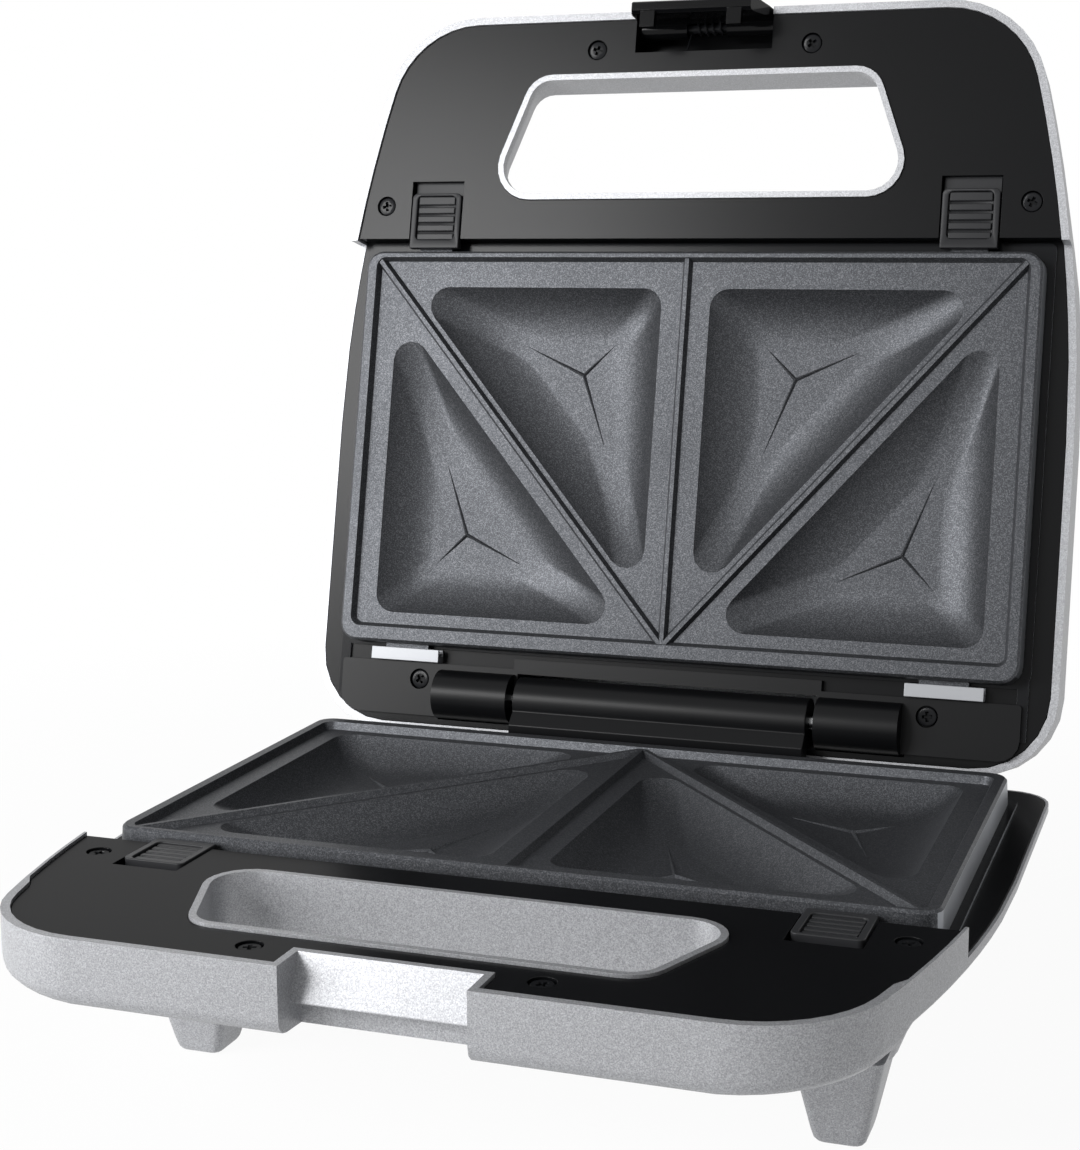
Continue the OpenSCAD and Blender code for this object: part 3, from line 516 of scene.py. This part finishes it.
class StudioSettings(bpy.types.PropertyGroup):
    lens: FloatProperty(
        name="Focal length", description="Focal length on a frame 36 mm high", default=64.39,
        min=20.0, max=200.0)
    place: FloatVectorProperty(
        name="Camera place", description="Where the camera stands", size=3,
        default=(0.18975, -0.56418, 0.23709), subtype="TRANSLATION", unit="LENGTH")
    turn: FloatVectorProperty(
        name="Camera turn", description="Yaw, pitch and roll of the camera", size=3,
        default=(0.3437, -0.1715, 0.0053), subtype="EULER", unit="ROTATION")
    room: FloatProperty(
        name="Room light", description="Strength of the even light of the room", default=0.13,
        min=0.0, max=2.0)
    key: FloatProperty(
        name="Key light", description="Power of the large lamp in front", default=18.0, min=0.0, max=60.0)
    side: FloatProperty(
        name="Side light", description="Power of the low lamp at the left", default=4.2, min=0.0, max=30.0)


class ToasterSettings(bpy.types.PropertyGroup):
    shell: PointerProperty(type=ShellSettings)
    cover: PointerProperty(type=CoverSettings)
    plate: PointerProperty(type=PlateSettings)
    button: PointerProperty(type=ButtonSettings)
    studio: PointerProperty(type=StudioSettings)


# Operators


class TOASTER_OT_shells(bpy.types.Operator):
    """Finish the lower and upper silver shell"""

    bl_idname = "toaster.shells"
    bl_label = "Silver shells"

    def execute(self, context):
        edge = context.scene.toaster.shell.edge
        for node in ("base_shell", "lid_shell"):
            dress_node(node, "silver", "silver_shell", silver_paint(), edge)
        return {"FINISHED"}


class TOASTER_OT_feet(bpy.types.Operator):
    """Finish the four feet and their pads"""

    bl_idname = "toaster.feet"
    bl_label = "Feet"

    def execute(self, context):
        edge = context.scene.toaster.shell.foot_edge
        for node in ("front_left_foot", "front_right_foot", "rear_left_foot", "rear_right_foot"):
            dress_node(node, "silver", "silver_shell", silver_paint(), edge)
        pads = copy_of_node("foot_pads", "rubber_pads")
        soften(pads, 0.2 * MM)
        fit(pads, "foot_pads", "pad_rubber", pad_rubber())
        return {"FINISHED"}


class TOASTER_OT_covers(bpy.types.Operator):
    """Finish the black inner covers"""

    bl_idname = "toaster.covers"
    bl_label = "Black covers"

    def execute(self, context):
        edge = context.scene.toaster.cover.edge
        for node in ("base_cover", "lid_cover"):
            dress_node(node, "black", "black_cover", black_moulding(), edge)
        return {"FINISHED"}


class TOASTER_OT_hinge(bpy.types.Operator):
    """Finish the hinge barrel, the lid's rear panel and the pin"""

    bl_idname = "toaster.hinge"
    bl_label = "Hinge"

    def execute(self, context):
        for node in ("base_hinge_bracket", "lid_hinge_panel"):
            dress_node(node, "black", "black_hinge", hinge_black(), 0.4 * MM)
        coat_node("hinge_pin", bright_steel())
        return {"FINISHED"}


class TOASTER_OT_plates(bpy.types.Operator):
    """Finish the two pocketed plates"""

    bl_idname = "toaster.plates"
    bl_label = "Plates"

    def execute(self, context):
        edge = context.scene.toaster.plate.edge
        for node, half in (("lower_plate", "base"), ("upper_plate", "lid")):
            piece = copy_of_node(node, "cooking_" + node)
            shut = half_place(half).inverted()
            turn = shut.to_3x3()
            # The level of the pockets' rims is the one with the largest flat area.
            areas = {}
            for face in piece.data.polygons:
                if (turn @ face.normal).z > 0.99:
                    height = round((shut @ face.center).z / MM, 1)
                    areas[height] = areas.get(height, 0) + face.area
            flat = max(areas, key=areas.get) * MM
            weigh_edges(piece, 35, lambda point: abs((shut @ point).z - flat) < 0.04 * MM)
            soften(piece, edge, 3, method="WEIGHT")
            fit(piece, node, "non_stick", non_stick(), bare_aluminium(), painted_shade_skirt())
            # The outer skirts are bare at the sides. At the front and the rear they get a black finish that
            # is painted shade: it stands for the deck edge's shadow on the bare metal.
            skin = 1.2
            places = [shut @ face.center / MM for face in piece.data.polygons]
            reach = max(place.x for place in places) - skin
            front = min(place.y for place in places) + skin
            rear = max(place.y for place in places) - skin
            for face, place in zip(piece.data.polygons, places):
                away = turn @ face.normal
                if place.z < -0.9 and abs(away.z) < 0.7:
                    if abs(place.x) > reach and abs(away.x) > 0.7:
                        face.material_index = 1
                    elif place.y < front or place.y > rear:
                        face.material_index = 2
        return {"FINISHED"}


class TOASTER_OT_buttons(bpy.types.Operator):
    """Model the plate-release button and set four of them"""

    bl_idname = "toaster.buttons"
    bl_label = "Release buttons"

    def execute(self, context):
        settings = context.scene.toaster.button
        half, front, back, nose = 9.3, -21.0, -6.8, -1.4
        bottom, lip, top = -10.4, -4.5, -1.8
        body = add_block("button_body", (-half, front, bottom), (half, back, top))
        edit_edges(body, lambda a, b: a.y < front + 0.1 and b.y < front + 0.1 and abs(a.z - b.z) > 1)
        bpy.ops.mesh.bevel(offset=1.8 * MM, segments=5, affect="EDGES")
        split_at(body, (0, 0, lip), (0, 0, 1))
        edit_faces(body, lambda c, n: n.y > 0.9 and c.z > lip)
        extrude((0, nose - back, 0))
        bpy.ops.object.mode_set(mode="OBJECT")
        recess_half, recess_floor = 7.3, -3.3
        recess = add_block(
            "button_recess", (-recess_half, front + 0.9, recess_floor), (recess_half, nose - 3.0, 0))
        edit_edges(recess, lambda a, b: abs(a.z - b.z) > 1)
        bpy.ops.mesh.bevel(offset=1.6 * MM, segments=5, affect="EDGES")
        cut(body, recess)
        soften(body, settings.edge, 3, 30)

        start, first, gap, margins = front + 1.1, 2.9, 0.9, 4.2
        rib_half, rib_foot, rib_top = 6.9, -3.5, -2.3
        pitch = (nose - front - margins - first) / (settings.ribs - 1)
        spans = [(start, start + first)]
        for index in range(settings.ribs - 1):
            y = start + first + gap + index * pitch
            spans.append((y, y + pitch - gap))
        ribs = [add_block("button_rib", (-rib_half, near, rib_foot), (rib_half, far, rib_top))
                for near, far in spans]
        ribs = join(*ribs)
        soften(ribs, settings.edge, 3, 30)

        tip, under, over = front - 12.8, -5.7, -4.8
        tongue = add_block("button_tongue", (-half, tip, under), (half, front + 1, over))
        soften(tongue, 0.2 * MM, 2, 30)
        button = join(body, ribs, tongue)
        for half_name, place in (("lower", "base"), ("upper", "lid")):
            for side, x in (("left", -93.6), ("right", 93.6)):
                node = f"{half_name}_{side}_button"
                piece = seat(twin(button, "release_" + node, (x, 0, 0)), place)
                fit(piece, node, "button_plastic", button_grey())
                coat_node(f"{half_name}_{side}_spring", bright_steel())
        bpy.data.objects.remove(button)
        return {"FINISHED"}


class TOASTER_OT_latch(bpy.types.Operator):
    """Finish the latch lever, its pin and its spring"""

    bl_idname = "toaster.latch"
    bl_label = "Latch"

    def execute(self, context):
        dress_node("latch_lever", "gloss", "latch_plastic", gloss_black(), 0.5 * MM, 3, 35)
        coat_node("latch_pin", dark_steel())
        coat_node("latch_spring", dark_steel())
        return {"FINISHED"}


class TOASTER_OT_screws(bpy.types.Operator):
    """Model a cross-head screw and set it in both covers and the rear panel"""

    bl_idname = "toaster.screws"
    bl_label = "Screws"

    def execute(self, context):
        radius, height, dome = 3.2, 1.9, 0.55
        reach, width, floor, above, narrowing = 2.2, 0.7, 0.5, 3.3, 0.55
        head = add_disc("screw_head", radius, 0, height, 40)
        edit_faces(head, lambda c, n: n.z > 0.9)
        bpy.ops.mesh.bevel(offset=dome * MM, segments=4, affect="EDGES")
        bpy.ops.object.mode_set(mode="OBJECT")
        for x, y in ((reach, width), (width, reach)):
            slot = add_block("screw_slot", (-x, -y, floor), (x, y, above))
            edit_faces(slot, lambda c, n: n.z < -0.9)
            bpy.ops.transform.resize(value=(narrowing, narrowing, 1))
            bpy.ops.object.mode_set(mode="OBJECT")
            cut(head, slot)
        soften(head, 0, smooth=40)
        shank = add_disc("screw_shank", 1.5, -6.0, 0.3, 20)
        screw = join(head, shank)

        # Where the screws sit in a half drawn shut, at both sides; each is turned differently.
        deck = [(37.7, -70.8, -4.7), (113.0, -16.6, -4.7)]
        panel = [(89.0, 150.8, -9.5)]
        for node, place, spots in (("base_screws", "base", deck), ("lid_screws", "lid", deck + panel)):
            ends = [(x * side, y, z) for x, y, z in spots for side in (-1, 1)]
            row = [twin(screw, "cross_screw", spot, math.radians(20 + 31 * index))
                   for index, spot in enumerate(ends)]
            fit(seat(join(*row), place), node, "dark_steel", dark_steel())
            row[0].name = "cross_" + node
        bpy.data.objects.remove(screw)
        return {"FINISHED"}


class TOASTER_OT_indicators(bpy.types.Operator):
    """Finish the two indicator lenses in the lid"""

    bl_idname = "toaster.indicators"
    bl_label = "Indicators"

    def execute(self, context):
        for node, slot, material in (
                ("power_lens", "red_lens", red_lens()), ("ready_lens", "green_lens", green_lens())):
            dress_node(node, "domed", slot, material, 0.35 * MM, 3, 35)
        return {"FINISHED"}


class TOASTER_OT_inner_parts(bpy.types.Operator):
    """Finish the heating, wiring and clip parts"""

    bl_idname = "toaster.inner_parts"
    bl_label = "Inner parts"

    def execute(self, context):
        for half in ("lower", "upper"):
            tray = dress_node(half + "_heat_tray", "bright", "tray_metal", tray_metal(), 0.2 * MM, 2, 35)
            # Painted shade: the tray is one sheet of bright metal, and its faces that don't face the sides
            # get the dark steel finish for the deck's shadow.
            tray.data.materials.append(dark_steel())
            for face in tray.data.polygons:
                face.material_index = int(abs(face.normal.x) < 0.7)
            dress_node(half + "_rear_clips", "bright", "clip_metal", clip_metal(), 0.2 * MM, 2, 35)
            coat_node(half + "_heating_element", element_steel())
            coat_node(half + "_element_clamps", tray_metal())
        coat_node("thermostat", tray_metal())
        coat_node("thermal_fuse", fuse_sleeve())
        coat_node("terminal_block", ceramic())
        coat_node("cord_grommet", hinge_black())
        coat_node("indicator_lamps", ceramic())
        return {"FINISHED"}


def backdrop_white(tree, share):
    """The share of plain white for what the camera, metal and glass see; the light has none."""
    path = add_node(tree, "ShaderNodeLightPath", {})
    seen = add_node(tree, "ShaderNodeMath", {
        0: path.outputs["Is Camera Ray"], 1: path.outputs["Is Glossy Ray"]}, operation="MAXIMUM")
    seen = add_node(tree, "ShaderNodeMath", {
        0: seen.outputs[0], 1: path.outputs["Is Transmission Ray"]}, operation="MAXIMUM")
    return add_node(tree, "ShaderNodeMath", {
        0: seen.outputs[0], 1: share}, operation="MULTIPLY").outputs[0]


def lamp(name, place, target, size, power):
    data = bpy.data.lights.new(name, "AREA")
    data.shape = "RECTANGLE"
    data.size, data.size_y = size
    data.energy = power
    lamp_object = bpy.data.objects.new(name, data)
    bpy.context.scene.collection.objects.link(lamp_object)
    lamp_object.location = place
    lamp_object.rotation_euler = (Vector(target) - Vector(place)).to_track_quat("-Z", "Y").to_euler()


class TOASTER_OT_studio(bpy.types.Operator):
    """Set up the floor, the light and the camera"""

    bl_idname = "toaster.studio"
    bl_label = "Studio"

    def execute(self, context):
        studio = context.scene.toaster.studio
        deselect()
        bpy.ops.mesh.primitive_plane_add(size=8.0, location=(0, 0, 0))
        floor = context.object
        floor.name = "studio_floor"
        material = bpy.data.materials.new("studio_floor")
        material.use_nodes = True
        tree = material.node_tree
        shader = tree.nodes["Principled BSDF"]
        shader.inputs["Base Color"].default_value = (0.9, 0.9, 0.9, 1)
        shader.inputs["Roughness"].default_value = 0.9
        glow = add_node(tree, "ShaderNodeEmission", {"Color": (1, 1, 1, 1), "Strength": 1.0})
        place = add_node(tree, "ShaderNodeTexCoord", {}).outputs["Object"]
        # The floor keeps a little of its own shading near the part, for the shadow.
        away = add_node(tree, "ShaderNodeVectorMath", {0: place}, operation="LENGTH").outputs["Value"]
        share = stretch(tree, away, 0.2, 0.6, 0.95, 1.0)
        mixed = add_node(tree, "ShaderNodeMixShader", {
            0: backdrop_white(tree, share), 1: shader.outputs[0], 2: glow.outputs[0]})
        tree.links.new(mixed.outputs[0], tree.nodes["Material Output"].inputs["Surface"])
        floor.data.materials.append(material)

        world = bpy.data.worlds.new("studio_room")
        context.scene.world = world
        world.use_nodes = True
        tree = world.node_tree
        room = tree.nodes["Background"]
        room.inputs["Color"].default_value = (1, 1, 1, 1)
        room.inputs["Strength"].default_value = studio.room
        white = add_node(tree, "ShaderNodeBackground", {"Color": (1, 1, 1, 1), "Strength": 1.0})
        mixed = add_node(tree, "ShaderNodeMixShader", {
            0: backdrop_white(tree, 1.0), 1: room.outputs[0], 2: white.outputs[0]})
        tree.links.new(mixed.outputs[0], tree.nodes["World Output"].inputs["Surface"])

        lamp("key_lamp", (-0.78, -1.34, 0.83), (0, 0.1, 0.2), (0.54, 0.54), studio.key)
        lamp("side_lamp", (-0.62, -0.5, 0.2), (0, 0, 0.06), (0.3, 0.25), studio.side)

        data = bpy.data.cameras.new("photo_camera")
        data.sensor_fit = "VERTICAL"
        data.sensor_height = 36
        data.lens = studio.lens
        data.clip_start = 0.01
        camera = bpy.data.objects.new("photo_camera", data)
        context.scene.collection.objects.link(camera)
        yaw, pitch, roll = studio.turn
        camera.matrix_world = (
            Matrix.Translation(studio.place) @ Matrix.Rotation(yaw, 4, "Z") @ Matrix.Rotation(pitch, 4, "X")
            @ Matrix.Rotation(roll, 4, "Y") @ Matrix.Rotation(math.radians(90), 4, "X"))
        context.scene.camera = camera
        context.scene.view_settings.view_transform = "Standard"
        return {"FINISHED"}


STEPS = (
    "shells", "feet", "covers", "hinge", "plates", "buttons", "latch", "screws", "indicators",
    "inner_parts", "studio")


class TOASTER_PT_panel(bpy.types.Panel):
    bl_idname = "TOASTER_PT_panel"
    bl_label = "Sandwich toaster"
    bl_space_type = "VIEW_3D"
    bl_region_type = "UI"
    bl_category = "Toaster"

    def draw(self, context):
        for part in ("shell", "cover", "plate", "button", "studio"):
            box = self.layout.box()
            box.label(text=part.title())
            group = getattr(context.scene.toaster, part)
            for key in group.__annotations__:
                box.prop(group, key)
        for step in STEPS:
            self.layout.operator("toaster." + step)


CLASSES = (
    ShellSettings, CoverSettings, PlateSettings, ButtonSettings, StudioSettings, ToasterSettings,
    TOASTER_OT_shells, TOASTER_OT_feet, TOASTER_OT_covers, TOASTER_OT_hinge, TOASTER_OT_plates,
    TOASTER_OT_buttons, TOASTER_OT_latch, TOASTER_OT_screws, TOASTER_OT_indicators,
    TOASTER_OT_inner_parts, TOASTER_OT_studio, TOASTER_PT_panel)


def register():
    for cls in CLASSES:
        bpy.utils.register_class(cls)
    bpy.types.Scene.toaster = PointerProperty(type=ToasterSettings)


def unregister():
    del bpy.types.Scene.toaster
    for cls in reversed(CLASSES):
        bpy.utils.unregister_class(cls)


def main():
    register()
    for step in STEPS:
        getattr(bpy.ops.toaster, step)()


if __name__ == "__main__":
    main()
